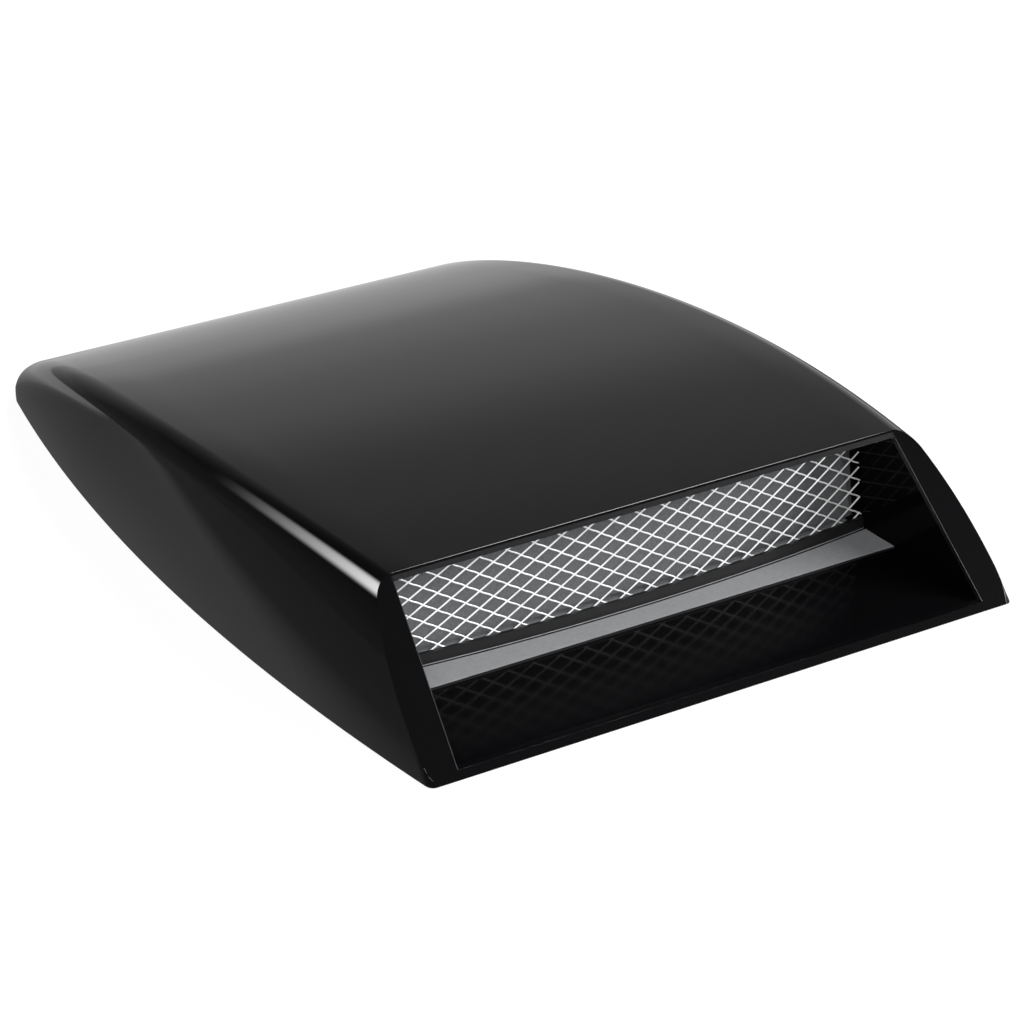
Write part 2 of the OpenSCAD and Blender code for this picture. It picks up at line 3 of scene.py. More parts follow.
import bpy
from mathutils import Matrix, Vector


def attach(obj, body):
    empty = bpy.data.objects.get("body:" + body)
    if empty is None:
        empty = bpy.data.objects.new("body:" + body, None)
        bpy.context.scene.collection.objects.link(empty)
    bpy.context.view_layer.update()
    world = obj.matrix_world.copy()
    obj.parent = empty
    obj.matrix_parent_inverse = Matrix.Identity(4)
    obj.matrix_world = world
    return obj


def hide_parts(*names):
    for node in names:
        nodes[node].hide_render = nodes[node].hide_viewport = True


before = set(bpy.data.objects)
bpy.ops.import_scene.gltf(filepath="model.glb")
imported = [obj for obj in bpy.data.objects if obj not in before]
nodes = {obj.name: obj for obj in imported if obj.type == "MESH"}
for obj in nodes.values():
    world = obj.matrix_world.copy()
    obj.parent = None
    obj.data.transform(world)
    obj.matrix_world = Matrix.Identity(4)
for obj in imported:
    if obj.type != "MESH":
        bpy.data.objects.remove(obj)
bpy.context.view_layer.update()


# Shell: the gloss black moulding of roof, flanks, tail and the raked frame round the mouth.
# Injection-moulded ABS, polished outside, with ribs, gussets and screw bosses moulded on
# inside; foam tape under its rim holds it to the bonnet. Sizes in mm from the lower lip
# and the rim plane. Its loft isn't a primitive with modifiers, so its rings are worked out.
mm = 0.001
body_l = 419.0
mouth_w = 280.0
mouth_h = 59.5
setback = 60.0
wall = 2.2
tape = 0.8
flank_lean = 12.4
flank_power = 2.4
plan_bulge = 10.6
tail_taper = 27.5
tail_r = 17.5
rib_t = 1.6
rib_h = 8.0
open_foot = 126.5
open_lean = 6.2
rake = setback / mouth_h
frame_depth = 2.5 * math.sqrt(1 + rake * rake)
roof_curve = [(setback, mouth_h), (setback + 171, mouth_h + 12.3), (body_l - 26, 39.7), (body_l, 2.9)]


def roof_at(t):
    """Point on the roof's centre line: distance from the lower lip, and height."""
    w = ((1 - t) ** 3, 3 * (1 - t) ** 2 * t, 3 * (1 - t) * t * t, t ** 3)
    return [sum(a * c[k] for a, c in zip(w, roof_curve)) for k in (0, 1)]


def roof_inset(t, depth):
    """The same point moved into the part, square to the roof."""
    w = ((1 - t) ** 2, 2 * (1 - t) * t, t * t)
    steps = [[b - a for a, b in zip(*pair)] for pair in zip(roof_curve, roof_curve[1:])]
    along = [sum(a * step[k] for a, step in zip(w, steps)) for k in (0, 1)]
    size = math.hypot(*along)
    p = roof_at(t)
    return [p[0] + depth * along[1] / size, p[1] - depth * along[0] / size]


def roof_param(y, depth):
    """Curve parameter where the inset roof line is y mm from the lower lip."""
    lo, hi = 0.0, 1.0
    for _ in range(30):
        mid = (lo + hi) / 2
        lo, hi = (mid, hi) if roof_inset(mid, depth)[0] < y else (lo, mid)
    return (lo + hi) / 2


def rim_half(y, depth, end):
    """Half width of the rim, which bulges a little, tapers and has round rear corners."""
    v = min(1.0, max(0.0, y / body_l))
    side = mouth_w / 2 + 4 * plan_bulge * v * (1 - v) - tail_taper * v ** 2.2
    r = max(1.0, tail_r - depth)
    d = min(r, max(0.0, y - end + r))
    return side - depth - (r - math.sqrt(max(0.0, r * r - d * d)))


def corner_cut(y, h, r=3.0, height=12.0):
    """How far the front bottom corner is rounded off at this place."""
    if y >= r or h >= height:
        return 0.0
    return (r - math.sqrt(r * r - (r - y) ** 2)) * (1 - h / height) ** 2


def ring(w, z, r, y_rim, y_roof, front_round=False, flank=14, crease=14, roof=8):
    """One cross-section from rim to rim: leaning flanks, soft creases and a flat roof."""
    tip = flank_lean * z / mouth_h
    r = min(r, 0.8 * z)
    half = []
    for k in range(flank + 1):
        s = k / flank * (1 - r / z)
        half.append((w - tip * s ** flank_power, s * z))
    last = half[-1]
    first = (w - tip - r, z)
    corner = [0.9 * c + 0.05 * (a + b) for c, a, b in zip((w - tip, z), last, first)]
    for k in range(1, crease + 1):
        s = k / (crease + 1)
        half.append(tuple((1 - s) ** 2 * a + 2 * (1 - s) * s * c + s * s * b
                          for a, c, b in zip(last, corner, first)))
    half += [(first[0] * (1 - k / roof), z) for k in range(roof + 1)]
    if front_round:
        half = [(x - corner_cut(y_rim, h), h) for x, h in half]
    full = [(-x, h) for x, h in half] + [(x, h) for x, h in reversed(half[:-1])]
    return [(x, y_rim + (y_roof - y_rim) * h / z, h) for x, h in full]


def open_half(z):
    """Half width of the opening at this height."""
    return open_foot - open_lean * z / mouth_h


def mouth_ring(around, depth, foot=2.8, head=57.1):
    """Edge of the opening, point for point with the ring round it."""
    top = max(p[2] for p in around)
    reach = max(p[0] for p in around if p[2] > top - 1e-6)
    edge = []
    for x, _, h in around:
        z = foot + (head - foot) * h / top
        edge.append((max(-1.0, min(1.0, x / reach)) * open_half(z), depth + rake * z, z))
    return edge


# The first stations are close together, for the rounded front corners
station_steps = [0, 0.04, 0.12, 0.3, 0.6] + list(range(1, 111))
stations = len(station_steps) - 1
outer = []
inner = []
inner_start = frame_depth + rake * (mouth_h - wall)
inner_end = roof_inset(1, wall)[0]
inner_t = roof_param(inner_start, wall)
for step in station_steps:
    t = step / station_steps[-1]
    p = roof_at(t)
    u = (p[0] - setback) / (body_l - setback)
    outer.append(ring(rim_half(u * body_l, 0, body_l), p[1], 7.4 + 0.6 * u, u * body_l, p[0], True))
    q = roof_inset(inner_t + (1 - inner_t) * t, wall)
    u = (q[0] - inner_start) / (inner_end - inner_start)
    y = frame_depth + u * (inner_end - frame_depth)
    inner.append(ring(rim_half(y, wall, inner_end), q[1], 5.2 + 0.6 * u, y, q[0]))
rings = outer[::-1] + [mouth_ring(outer[0], 0.0), mouth_ring(inner[0], frame_depth)] + inner
count = len(rings[0])
points = [p for r in rings for p in r]
faces = []
for i in range(len(rings) - 1):
    a = i * count
    b = a + count
    faces += [(a + j, a + j + 1, b + j + 1, b + j) for j in range(count - 1)]
    if stations <= i <= stations + 2:
        faces.append((a + count - 1, a, b, b + count - 1))
final = len(rings) - 1
for start in (0, final * count):
    faces += [(start + k, start + k + 1, start + count - 2 - k, start + count - 1 - k)
              for k in range(count // 2 - 1)]
    faces.append((start + count // 2 - 1, start + count // 2, start + count // 2 + 1))
for i in range(stations):
    for k in (0, count - 1):
        faces.append((i * count + k, (i + 1) * count + k, (final - i - 1) * count + k,
                      (final - i) * count + k))
faces.append((0, count - 1, final * count + count - 1, final * count))
faces.append((stations * count, stations * count + count - 1,
              (stations + 3) * count + count - 1, (stations + 3) * count))


def prism(outline, axis, middle, width):
    """Adds a closed prism over an outline, along one axis."""
    start = len(points)
    n = len(outline)
    for side in (-0.5, 0.5):
        for u, v in outline:
            c = middle + side * width
            points.append({"x": (c, u, v), "y": (u, c, v), "z": (u, v, c)}[axis])
    faces.append(tuple(range(start, start + n)))
    faces.append(tuple(range(start + n, start + 2 * n)))
    faces.extend((start + k, start + (k + 1) % n, start + n + (k + 1) % n, start + n + k)
                 for k in range(n))


def box_outline(u0, v0, u1, v1):
    return [(u0, v0), (u1, v0), (u1, v1), (u0, v1)]


# Four long ribs and the cross ribs under the roof, behind the screws of the tray
boss_d = 7.1
tray_back = 91
tray_wall = 2
rib_pitch = 70
screw_y = tray_back + math.tan(math.radians(10)) * mouth_h + tray_wall + boss_d / 2 + 1
rib_front = screw_y + boss_d
rib_rear = body_l - 75
t0 = roof_param(rib_front, wall)
t1 = roof_param(rib_rear, wall)
rib_steps = [t0 + (t1 - t0) * k / 24 for k in range(25)]
for x in (-78, -26, 26, 78):
    prism([roof_inset(t, wall / 2) for t in rib_steps]
          + [roof_inset(t, wall + rib_h) for t in reversed(rib_steps)], "x", x, rib_t)
for k in range(int((rib_rear - rib_front) // rib_pitch) + 1):
    y = rib_front + rib_t + rib_pitch * k
    top, low = (roof_inset(roof_param(y, d), d)[1] for d in (wall / 2, wall))
    half = rim_half(y, wall, body_l) - flank_lean - rib_h - rib_t
    prism(box_outline(-half, low - rib_h, half, top), "y", y, rib_t)

# Gussets from the rim to the flanks and to the tail
gusset_pitch = 30
gusset_h = 15
rim_land = 11
first_gusset = screw_y + 12
last_gusset = body_l - tail_r - gusset_pitch
for k in range(int((last_gusset - first_gusset) // gusset_pitch) + 1):
    y = last_gusset - gusset_pitch * k
    w = rim_half(y, 0, body_l)
    tip = flank_lean * (gusset_h / mouth_h) ** flank_power
    for s in (-1, 1):
        prism([(s * (w - wall / 2), 0.2), (s * (w - rim_land), 0.2), (s * (w - rim_land), 3.2),
               (s * (w - wall - tip - 1), gusset_h), (s * (w - wall / 2 - tip), gusset_h)],
              "y", y, rib_t)
tail_from = roof_param(body_l - rim_land, wall / 2)
for k in (-2, -1, 0, 1, 2):
    prism([roof_inset(tail_from + (1 - tail_from) * j / 6, wall / 2) for j in range(7)]
          + [(body_l - wall / 2, 0.2), (body_l - rim_land, 0.2)], "x", gusset_pitch * k, rib_t)

# Screw bosses with their fins
boss_foot = 12
boss_span = 190
boss_top = roof_inset(roof_param(screw_y, wall / 2), wall / 2)[1]
boss_mid = (boss_foot + boss_top) / 2
circle = [(math.cos(math.tau * k / 32), math.sin(math.tau * k / 32)) for k in range(32)]
for k in range(4):
    x = boss_span * (k / 3 - 0.5)
    prism([(x + boss_d / 2 * c, screw_y + boss_d / 2 * s) for c, s in circle], "z",
          boss_mid, boss_top - boss_foot)
    prism(box_outline(screw_y, boss_mid, screw_y + boss_d, boss_top), "x", x, rib_t)
    prism(box_outline(x - boss_d, boss_mid, x + boss_d, boss_top), "y", screw_y, rib_t)

# A hair smaller than the CAD shell, so that rounding never puts it outside the CAD box
shrink = 0.9999 * mm
mesh = bpy.data.meshes.new("shell_moulding")
mesh.from_pydata([(x * shrink, (y - body_l / 2) * shrink, (z + tape) * shrink)
                  for x, y, z in points], [], faces)
mesh.validate()
moulding = bpy.data.objects.new("shell_moulding", mesh)
bpy.context.scene.collection.objects.link(moulding)

# The mouth's outer edge is rounded off most along the roof, and its inner edge barely
outer_edge = {stations * count + j for j in range(count)}
inner_edge = {(stations + 1) * count + j for j in range(count)}
weights = mesh.attributes.new("bevel_weight_edge", "FLOAT", "EDGE")
for edge in mesh.edges:
    a, b = edge.vertices
    if {a, b} <= inner_edge:
        weights.data[edge.index].value = 0.08
    elif {a, b} <= outer_edge:
        from_left = min(a, b) - stations * count
        from_rim = min(from_left, count - 2 - from_left)
        flank_share = max(0.0, min(1.0, (24 - from_rim) / 10))
        bottom = abs(a - b) > 1
        weights.data[edge.index].value = 0.3 if bottom else 0.7 - 0.25 * flank_share
bpy.ops.object.select_all(action="DESELECT")
moulding.select_set(True)
bpy.context.view_layer.objects.active = moulding
bpy.ops.object.mode_set(mode="EDIT")
bpy.ops.mesh.select_all(action="SELECT")
bpy.ops.mesh.normals_make_consistent(inside=False)
bpy.ops.object.mode_set(mode="OBJECT")
bpy.ops.object.shade_smooth_by_angle(angle=math.radians(32))
bevel = moulding.modifiers.new("edges", "BEVEL")
bevel.limit_method = "WEIGHT"
bevel.width = 1.2 * mm
bevel.segments = 4
bevel.harden_normals = True
bpy.ops.object.modifier_apply(modifier="edges")


def linear(hex_colour):
    """sRGB hex colour as the linear values that a shader takes."""
    parts = [int(hex_colour[i:i + 2], 16) / 255 for i in (1, 3, 5)]
    return [p / 12.92 if p <= 0.04045 else ((p + 0.055) / 1.055) ** 2.4 for p in parts] + [1.0]


def new_material(name):
    """New material with its node tree and its shader."""
    material = bpy.data.materials.new(name)
    material.use_nodes = True
    return material, material.node_tree, material.node_tree.nodes["Principled BSDF"]


def add_node(tree, kind, settings=None, **inputs):
    """One node with its settings and links. Inputs called i0, i1 and so on go by number,
    and a node given as an input is linked by its first output in use."""
    node = tree.nodes.new(kind)
    for key, value in (settings or {}).items():
        setattr(node, key, value)
    for key, value in inputs.items():
        socket = node.inputs[int(key[1:])] if key[1:].isdigit() else node.inputs[key]
        if isinstance(value, bpy.types.Node):
            value = next(output for output in value.outputs if output.enabled)
        if isinstance(value, bpy.types.NodeSocket):
            tree.links.new(value, socket)
        else:
            socket.default_value = value
    return node


def overlap(tree, *limits):
    """Mask of 1 where all limits hold: each is a value, where it counts 0 and where 1."""
    mask = 1.0
    for value, none, full in limits:
        part = add_node(tree, "ShaderNodeMapRange", i0=value, i1=none, i2=full)
        mask = add_node(tree, "ShaderNodeMath", {"operation": "MULTIPLY"}, i0=mask, i1=part)
    return mask


# Polished black ABS. A slow waver in the roughness keeps the long reflections from looking
# computed. The narrow face over the mouth has a moulded grain that reads dark grey, drawn at
# 1.1 mm because the real one is too fine to show. The side returns of the opening are duller
# and show as a thin light line.
lip_grain = 1.1
waver_length = 110
gloss_black, tree, shader = new_material("gloss_black_abs")
place = add_node(tree, "ShaderNodeTexCoord").outputs["Object"]
axes = add_node(tree, "ShaderNodeSeparateXYZ", Vector=place).outputs
aside = add_node(tree, "ShaderNodeMath", {"operation": "ABSOLUTE"}, i0=axes["X"])
face = add_node(tree, "ShaderNodeVectorMath", {"operation": "DOT_PRODUCT"}, i0=place, i1=(0, 1, -rake))
face = add_node(tree, "ShaderNodeMath", {"operation": "ADD"}, i0=face, i1=(body_l / 2 + rake * tape) * mm)
face = add_node(tree, "ShaderNodeMath", {"operation": "ABSOLUTE"}, i0=face)
lip = overlap(tree, (face, 0.4 * mm, 0.2 * mm), (aside, 121.5 * mm, 120 * mm),
              (axes["Z"], 57.4 * mm, 57.7 * mm), (axes["Z"], 59.6 * mm, 59.4 * mm))
grain = add_node(tree, "ShaderNodeTexNoise", Vector=place, Scale=1 / (lip_grain * mm), Detail=2.0)
dark_grey = add_node(tree, "ShaderNodeMix", {"data_type": "RGBA"}, i0=grain,
                     i6=linear("#131314"), i7=linear("#1f1f20"))
colour = add_node(tree, "ShaderNodeMix", {"data_type": "RGBA"}, i0=lip,
                  i6=linear("#070708"), i7=dark_grey)
tree.links.new(colour.outputs[2], shader.inputs["Base Color"])
waver = add_node(tree, "ShaderNodeTexNoise", Vector=place, Scale=1 / (waver_length * mm), Detail=3.0)
gloss = add_node(tree, "ShaderNodeMapRange", i0=waver, i1=0.3, i2=0.7, i3=0.055, i4=0.075)
gloss = add_node(tree, "ShaderNodeMix", {"data_type": "FLOAT"}, i0=lip, i2=gloss, i3=0.2)
return_side = add_node(tree, "ShaderNodeMath", {"operation": "MULTIPLY_ADD"},
                       i0=axes["Z"], i1=open_lean / mouth_h, i2=aside)
return_side = add_node(tree, "ShaderNodeMath", {"operation": "SUBTRACT"}, i0=return_side,
                       i1=(open_foot + open_lean * tape / mouth_h) * mm)
return_side = add_node(tree, "ShaderNodeMath", {"operation": "ABSOLUTE"}, i0=return_side)
returns = overlap(tree, (return_side, 0.3 * mm, 0.2 * mm), (axes["Y"], -139 * mm, -140 * mm),
                  (axes["Z"], 3.6 * mm, 3.9 * mm), (axes["Z"], 57.8 * mm, 57.6 * mm))
gloss = add_node(tree, "ShaderNodeMix", {"data_type": "FLOAT"}, i0=returns, i2=gloss, i3=0.45)
tree.links.new(gloss.outputs[0], shader.inputs["Roughness"])
shader.inputs["IOR"].default_value = 1.5
moulding.data.materials.append(gloss_black)
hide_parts("shell")
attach(moulding, "root")


def dress(name, material):
    """Gives a CAD node its material."""
    nodes[name].data.materials.clear()
    nodes[name].data.materials.append(material)


# The CAD shell has the same plastic as the moulding that stands in for it
dress("shell", gloss_black)


# Mesh: the bright expanded metal behind the mouth, bowed towards it.
# Aluminium sheet, slit and stretched, clamped along its top and foot by the two strips.
# Each strand is a round wire, because the CAD sheet's strands are flat, and the strands that run down to
# the right have a slight wave.
diamond_w = 12.5
diamond_h = 7.6
strand_r = 0.35
strand_sway = 0.13
crossing_gap = 0.12
sheet_half_t = 0.6
border = 0.45
mesh_y = 76
floor_t = 2.2
lower_strip_h = 6.6
top_strip_h = 7
strip_lap = 2.4
roof_gap = 3
cheek_step = 0.8
slot_d = 1.2
end_gap = 0.4
mesh_low = floor_t + lower_strip_h - strip_lap
mesh_high = roof_inset(roof_param(mesh_y, wall), wall)[1] - roof_gap - top_strip_h + strip_lap
bow_half = 128.1
bow_rise = 8
bow_r = (bow_half ** 2 + bow_rise ** 2) / (2 * bow_rise)


def on_bow(x, z, depth):
    """Point of a strand on the bowed sheet, in metres, with its weight."""
    y = mesh_y + bow_r - math.sqrt((bow_r - depth) ** 2 - x * x)
    return (x * mm, (y - body_l / 2) * mm, (z + tape) * mm, 1.0)


def mesh_half(z):
    """Half width of the sheet at this height, up to its border."""
    return open_half(z) + cheek_step + slot_d - end_gap - border


low = mesh_low + border
high = mesh_high - border
strand_lines = []
for side in (1, -1):
    steps = 24 if side > 0 else 72
    sway = 0.0 if side > 0 else strand_sway
    for k in range(-14, 14):
        line = []
        for j in range(steps + 1):
            z = low + (high - low) * j / steps
            x = diamond_w * (k + 0.5) + side * (z - mesh_low) * diamond_w / diamond_h
            lift = sway * math.sin(math.tau * (z - mesh_low) / (diamond_h / 2))
            if abs(x) <= mesh_half(z):
                depth = sheet_half_t - crossing_gap * side
                line.append(on_bow(x, min(high, max(low, z + lift)), depth))
        if len(line) > 1:
            strand_lines.append(line)
curve = bpy.data.curves.new("mesh_strands", "CURVE")
curve.dimensions = "3D"
curve.bevel_depth = strand_r * mm
curve.bevel_resolution = 2
curve.use_fill_caps = True
for line in strand_lines:
    spline = curve.splines.new("POLY")
    spline.points.add(len(line) - 1)
    for point, spot in zip(spline.points, line):
        point.co = spot
strands = bpy.data.objects.new("mesh_strands", curve)
bpy.context.scene.collection.objects.link(strands)
bpy.ops.object.select_all(action="DESELECT")
strands.select_set(True)
bpy.context.view_layer.objects.active = strands
bpy.ops.object.convert(target="MESH")
bpy.ops.object.shade_smooth()
strands = bpy.context.object

# Bright aluminium, etched: half of its light is spread, so that each strand reads white from
# both sides. The rolled grain, drawn at 1.4 mm because the real one is too fine to show,
# breaks up its highlights.
metal_grain = 1.4
bright_metal, tree, shader = new_material("bright_etched_aluminium")
place = add_node(tree, "ShaderNodeTexCoord").outputs["Object"]
grain = add_node(tree, "ShaderNodeTexNoise", Vector=place, Scale=1 / (metal_grain * mm), Detail=2.0)
colour = add_node(tree, "ShaderNodeMix", {"data_type": "RGBA"}, i0=grain,
                  i6=linear("#eceded"), i7=linear("#f8f9fa"))
tree.links.new(colour.outputs[2], shader.inputs["Base Color"])
sheen = add_node(tree, "ShaderNodeMapRange", i0=grain, i1=0.3, i2=0.7, i3=0.38, i4=0.46)
tree.links.new(sheen.outputs[0], shader.inputs["Roughness"])
shader.inputs["Metallic"].default_value = 0.5
strands.data.materials.clear()
strands.data.materials.append(bright_metal)
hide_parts("mesh")
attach(strands, "root")
dress("mesh", bright_metal)


# Duct tray: the recess behind the mouth, with its floor, cheeks and back panel.
# Injection-moulded ABS, polished black. Four screws hold it under the roof.
# The back panel and the foot behind the mesh have a grey texture that shows through the
# diamonds, drawn at 1.1 mm because the real one is too fine to show. The floor's polish is
# duller towards the mouth, where the mesh's reflection fades out.
panel_grain = 1.1
tray_black, tree, shader = new_material("black_tray_abs")
place = add_node(tree, "ShaderNodeTexCoord").outputs["Object"]
axes = add_node(tree, "ShaderNodeSeparateXYZ", Vector=place).outputs
aside = add_node(tree, "ShaderNodeMath", {"operation": "ABSOLUTE"}, i0=axes["X"])
panel = overlap(tree, (axes["Y"], -120.5 * mm, -119.5 * mm))
foot = overlap(tree, (axes["Y"], -134.5 * mm, -134 * mm), (aside, 119 * mm, 118 * mm),
               (axes["Z"], 2.6 * mm, 2.9 * mm), (axes["Z"], 15.2 * mm, 15 * mm))
textured = add_node(tree, "ShaderNodeMath", {"operation": "MAXIMUM"}, i0=panel, i1=foot)
grain = add_node(tree, "ShaderNodeTexNoise", Vector=place, Scale=1 / (panel_grain * mm), Detail=2.0)
grey = add_node(tree, "ShaderNodeMix", {"data_type": "RGBA"}, i0=grain,
                i6=linear("#4c4d4f"), i7=linear("#6c6d6f"))
colour = add_node(tree, "ShaderNodeMix", {"data_type": "RGBA"}, i0=textured,
                  i6=linear("#060607"), i7=grey)
tree.links.new(colour.outputs[2], shader.inputs["Base Color"])
gloss = add_node(tree, "ShaderNodeMapRange", i0=axes["Y"], i1=-180 * mm, i2=-140 * mm, i3=0.12, i4=0.05)
gloss = add_node(tree, "ShaderNodeMix", {"data_type": "FLOAT"}, i0=textured, i2=gloss, i3=0.6)
tree.links.new(gloss.outputs[0], shader.inputs["Roughness"])
shader.inputs["IOR"].default_value = 1.46
shader.inputs["Specular IOR Level"].default_value = 0.028
dress("duct_tray", tray_black)


# Lower mesh strip: the angle strip in front of the mesh's foot, with pegs through the tray.
# Moulded plastic. Its colour is painted by face: the top of its flat foot is painted a pale satin grey as
# a painted highlight, where the ledge catches the light, with a grain drawn at 1.7 mm so that it shows;
# its upright and the foot's front face are painted near black as painted shade.
foot_top = 4.4
strip_grain = 1.7
painted_strip_plastic, tree, shader = new_material("plastic_with_painted_light_and_shade")
place = add_node(tree, "ShaderNodeTexCoord").outputs["Object"]
axes = add_node(tree, "ShaderNodeSeparateXYZ", Vector=place).outputs
height = add_node(tree, "ShaderNodeMath", {"operation": "SUBTRACT"}, i0=axes["Z"], i1=foot_top * mm)
height = add_node(tree, "ShaderNodeMath", {"operation": "ABSOLUTE"}, i0=height)
# Painted shade: every face but the foot's top is painted near black, and the top face is painted pale grey
# as a painted highlight
painted_shade_faces = overlap(tree, (height, 0.15 * mm, 0.2 * mm))
grain = add_node(tree, "ShaderNodeTexNoise", Vector=place, Scale=1 / (strip_grain * mm), Detail=2.0)
grey = add_node(tree, "ShaderNodeMix", {"data_type": "RGBA"}, i0=grain,
                i6=linear("#88898b"), i7=linear("#9a9b9d"))
colour = add_node(tree, "ShaderNodeMix", {"data_type": "RGBA"}, i0=painted_shade_faces,
                  i6=grey, i7=linear("#141415"))
tree.links.new(colour.outputs[2], shader.inputs["Base Color"])
sheen = add_node(tree, "ShaderNodeMix", {"data_type": "FLOAT"}, i0=painted_shade_faces, i2=0.42, i3=0.35)
tree.links.new(sheen.outputs[0], shader.inputs["Roughness"])
shader.inputs["IOR"].default_value = 1.5
shader.inputs["Specular IOR Level"].default_value = 0.3
dress("lower_mesh_strip", painted_strip_plastic)


# Top mesh strip: clamps the mesh's top edge, hidden behind the roof's lip.
# Moulded black plastic with a satin face. Its grain, drawn at 1.7 mm so that it shows, makes
# the sheen a little uneven.
satin_black, tree, shader = new_material("satin_black_plastic")
place = add_node(tree, "ShaderNodeTexCoord").outputs["Object"]
grain = add_node(tree, "ShaderNodeTexNoise", Vector=place, Scale=1 / (strip_grain * mm), Detail=2.0)
colour = add_node(tree, "ShaderNodeMix", {"data_type": "RGBA"}, i0=grain,
                  i6=linear("#18181a"), i7=linear("#1e1e20"))
tree.links.new(colour.outputs[2], shader.inputs["Base Color"])
sheen = add_node(tree, "ShaderNodeMapRange", i0=grain, i1=0.3, i2=0.7, i3=0.36, i4=0.44)
tree.links.new(sheen.outputs[0], shader.inputs["Roughness"])
dress("top_mesh_strip", satin_black)


# Tray screws: four pan-head screws that hold the tray to the bosses under the roof.
# Zinc-plated steel. Crystals in the plating, drawn at 0.8 mm so that they show, give it a
# speckled sheen.
crystal = 0.83
zinc_steel, tree, shader = new_material("zinc_plated_steel")
place = add_node(tree, "ShaderNodeTexCoord").outputs["Object"]
speckle = add_node(tree, "ShaderNodeTexVoronoi", Vector=place, Scale=1 / (crystal * mm))
colour = add_node(tree, "ShaderNodeMix", {"data_type": "RGBA"}, i0=speckle,
                  i6=linear("#b4b7be"), i7=linear("#c2c4c8"))
tree.links.new(colour.outputs[2], shader.inputs["Base Color"])
sheen = add_node(tree, "ShaderNodeMapRange", i0=speckle, i1=0, i2=0.8, i3=0.3, i4=0.42)
tree.links.new(sheen.outputs[0], shader.inputs["Roughness"])
shader.inputs["Metallic"].default_value = 1.0
dress("tray_screws", zinc_steel)


# Foam tapes: four strips of double-sided foam tape under the rim, pressed down.
# Black closed-cell foam, extruded and slit. Its cells show as dark specks on a matt face.
cell = 0.62
foam, tree, shader = new_material("closed_cell_foam_black")
place = add_node(tree, "ShaderNodeTexCoord").outputs["Object"]
cells = add_node(tree, "ShaderNodeTexVoronoi", Vector=place, Scale=1 / (cell * mm))
colour = add_node(tree, "ShaderNodeMix", {"data_type": "RGBA"}, i0=cells,
                  i6=linear("#1b1b1d"), i7=linear("#2c2c2e"))
tree.links.new(colour.outputs[2], shader.inputs["Base Color"])
shader.inputs["Roughness"].default_value = 0.95
for side in ("front", "left", "right", "rear"):
    dress(side + "_foam_tape", foam)


# Floor: a plain pale sheet. To the camera it is white from its own light, with a quarter of
# lit sheet mixed in, so that it keeps the object's shadow. To reflections it is grey, lighter
# in a band to the left of the part and at the rear, which draws the bands on the flank.
bpy.ops.mesh.primitive_plane_add(size=12.0, location=(0, 0, -0.4 * mm))
floor = bpy.context.object
floor.name = "floor"
pale_sheet, tree, shader = new_material("pale_paper_sheet")
shader.inputs["Base Color"].default_value = linear("#c8c8c8")
shader.inputs["Roughness"].default_value = 0.9
place = add_node(tree, "ShaderNodeTexCoord").outputs["Object"]
across = add_node(tree, "ShaderNodeVectorMath", {"operation": "DOT_PRODUCT"}, i0=place, i1=(0.94, 0.34, 0))
reach = add_node(tree, "ShaderNodeMapRange", i0=across, i1=-0.3, i2=0)
band = add_node(tree, "ShaderNodeValToRGB", Fac=reach)
elements = band.color_ramp.elements
elements[0].position = 0.27
elements[0].color = [0.16] * 3 + [1]
elements[1].position = 1.0
elements[1].color = [0.14] * 3 + [1]
for position, level in ((0.39, 0.36), (0.5, 0.29), (0.68, 0.2)):
    elements.new(position).color = [level] * 3 + [1]
along = add_node(tree, "ShaderNodeVectorMath", {"operation": "DOT_PRODUCT"}, i0=place, i1=(1, 1, 0))
rear = add_node(tree, "ShaderNodeMapRange", {"interpolation_type": "SMOOTHSTEP"},
                i0=along, i1=0.07, i2=0.26, i3=0, i4=0.58)
beside = add_node(tree, "ShaderNodeVectorMath", {"operation": "DOT_PRODUCT"}, i0=place, i1=(1, -1, 0))
right = add_node(tree, "ShaderNodeMapRange", i0=beside, i1=0.05, i2=0.2, i3=1, i4=0.1)
rear = add_node(tree, "ShaderNodeMath", {"operation": "MULTIPLY"}, i0=rear, i1=right)
near = overlap(tree, (across, -0.12, -0.03))
rear = add_node(tree, "ShaderNodeMath", {"operation": "MULTIPLY"}, i0=rear, i1=near)
level = add_node(tree, "ShaderNodeMath", {"operation": "ADD"}, i0=band, i1=rear)
mirrored = add_node(tree, "ShaderNodeEmission", Strength=level)
white = add_node(tree, "ShaderNodeEmission", Strength=1.2)
lit = add_node(tree, "ShaderNodeMixShader", i0=0.75, i1=shader, i2=white)
path = add_node(tree, "ShaderNodeLightPath").outputs
seen = add_node(tree, "ShaderNodeMixShader", i0=path["Is Camera Ray"], i1=shader, i2=lit)
seen = add_node(tree, "ShaderNodeMixShader", i0=path["Is Glossy Ray"], i1=seen, i2=mirrored)
tree.links.new(seen.outputs[0], tree.nodes["Material Output"].inputs["Surface"])
floor.data.materials.append(pale_sheet)


# World: white to the camera. To reflections it is a pale studio, brightest at the horizon on
# the right and dark overhead, with one soft glow behind on the left that draws the highlight
# along the crease and fades towards the part's rear.
world = bpy.data.worlds.new("studio_world")
bpy.context.scene.world = world
world.use_nodes = True
tree = world.node_tree
tree.nodes.clear()
direction = add_node(tree, "ShaderNodeTexCoord").outputs["Generated"]
axes = add_node(tree, "ShaderNodeSeparateXYZ", Vector=direction).outputs
height = add_node(tree, "ShaderNodeValToRGB", Fac=axes["Z"])
elements = height.color_ramp.elements
elements[0].position = 0.0
elements[0].color = [0.66] * 3 + [1]
elements[1].position = 1.0
elements[1].color = [0.03] * 3 + [1]
for position, level in ((0.06, 0.64), (0.15, 0.47), (0.28, 0.4), (0.44, 0.23), (0.55, 0.19),
                        (0.62, 0.1), (0.72, 0.04)):
    elements.new(position).color = [level] * 3 + [1]
height.color_ramp.interpolation = "EASE"
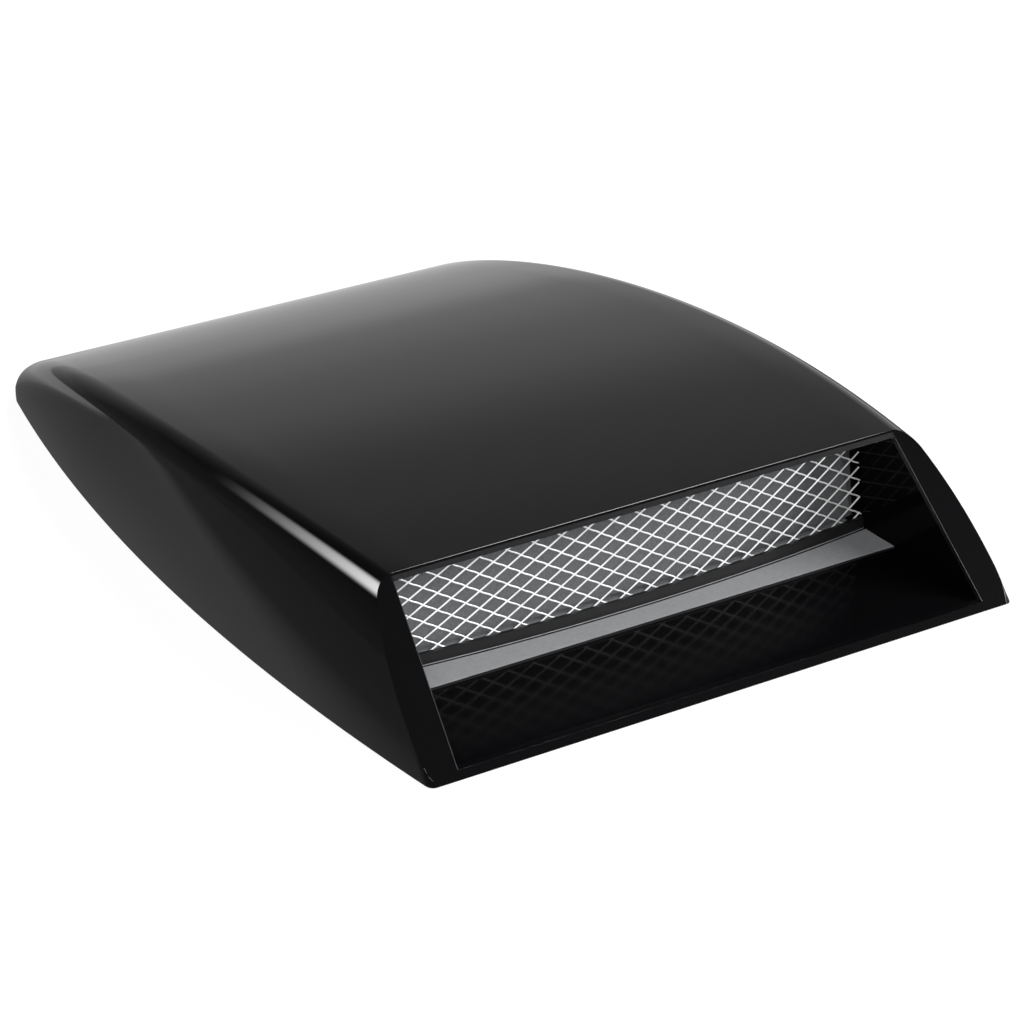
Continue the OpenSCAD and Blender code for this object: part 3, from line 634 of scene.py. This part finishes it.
to_right = add_node(tree, "ShaderNodeMapRange", i0=axes["X"], i1=-0.2, i2=0.65, i3=0.18, i4=1.35)
studio = add_node(tree, "ShaderNodeBackground", Color=height, Strength=to_right)
turn = add_node(tree, "ShaderNodeVectorMath", {"operation": "MULTIPLY"}, i0=direction, i1=(1, 0, 1))
turn = add_node(tree, "ShaderNodeVectorMath", {"operation": "NORMALIZE"}, i0=turn)
turn = add_node(tree, "ShaderNodeVectorMath", {"operation": "DOT_PRODUCT"}, i0=turn,
                i1=(-0.555, 0, 0.832))
width = add_node(tree, "ShaderNodeMapRange", {"interpolation_type": "SMOOTHSTEP"}, i0=turn, i1=0.9, i2=1)
width = add_node(tree, "ShaderNodeMath", {"operation": "POWER"}, i0=width, i1=2)
fade = add_node(tree, "ShaderNodeMapRange", i0=axes["Y"], i1=0.58, i2=0.84, i3=4.15, i4=0)
fade = add_node(tree, "ShaderNodeMath", {"operation": "POWER"}, i0=fade, i1=2)
start = add_node(tree, "ShaderNodeMapRange", {"interpolation_type": "SMOOTHSTEP"},
                 i0=axes["Y"], i1=0.5, i2=0.57)
glow = add_node(tree, "ShaderNodeMath", {"operation": "MULTIPLY"}, i0=width, i1=fade)
glow = add_node(tree, "ShaderNodeMath", {"operation": "MULTIPLY"}, i0=glow, i1=start)
soft = add_node(tree, "ShaderNodeBackground", Color=(1, 1, 1, 1), Strength=glow)
reflected = add_node(tree, "ShaderNodeAddShader", i0=studio, i1=soft)
plain = add_node(tree, "ShaderNodeBackground", Color=(1, 1, 1, 1), Strength=1.0)
path = add_node(tree, "ShaderNodeLightPath").outputs
seen = add_node(tree, "ShaderNodeMixShader", i0=path["Is Camera Ray"], i1=reflected, i2=plain)
add_node(tree, "ShaderNodeOutputWorld", Surface=seen)


# Camera: stands in front on the left and looks down at the part, as solved from the outline.
# Target and distance are in metres.
target = Vector((0.00133, -0.0454, 0.0112))
azimuth = math.radians(-32.723)
elevation = math.radians(26.060)
distance = 1.529
back = Vector((math.sin(azimuth) * math.cos(elevation),
               -math.cos(azimuth) * math.cos(elevation), math.sin(elevation)))
camera_data = bpy.data.cameras.new("camera")
camera_data.sensor_width = 36.0
camera_data.lens = 126.55
camera = bpy.data.objects.new("camera", camera_data)
bpy.context.scene.collection.objects.link(camera)
camera.location = target + back * distance
camera.rotation_euler = (-back).to_track_quat("-Z", "Y").to_euler()
bpy.context.scene.camera = camera


# Lamps: three soft studio panels, aimed at the mouth. The key lamp is in front on the right.
# The fill lamp, in front on the left, reaches the right end of the mesh. The overhead lamp,
# high on the right, draws the thin line along the roof's front edge.
def soft_lamp(name, spot, aim_z, width, length, power):
    data = bpy.data.lights.new(name, "AREA")
    data.shape = "RECTANGLE"
    data.size = width
    data.size_y = length
    data.energy = power
    lamp = bpy.data.objects.new(name, data)
    bpy.context.scene.collection.objects.link(lamp)
    lamp.location = spot
    aim = Vector((0, -0.15, aim_z))
    lamp.rotation_euler = (aim - Vector(spot)).to_track_quat("-Z", "Y").to_euler()


soft_lamp("key_lamp", (1.26, -1.62, 0.98), 0.03, 1.7, 0.5, 62)
soft_lamp("overhead_lamp", (1.1, 0.1, 1.9), 0.05, 1.0, 0.5, 26)
soft_lamp("fill_lamp", (-0.9, -1.6, 0.95), 0.03, 0.7, 0.5, 26)


bpy.context.scene.view_settings.view_transform = "Standard"
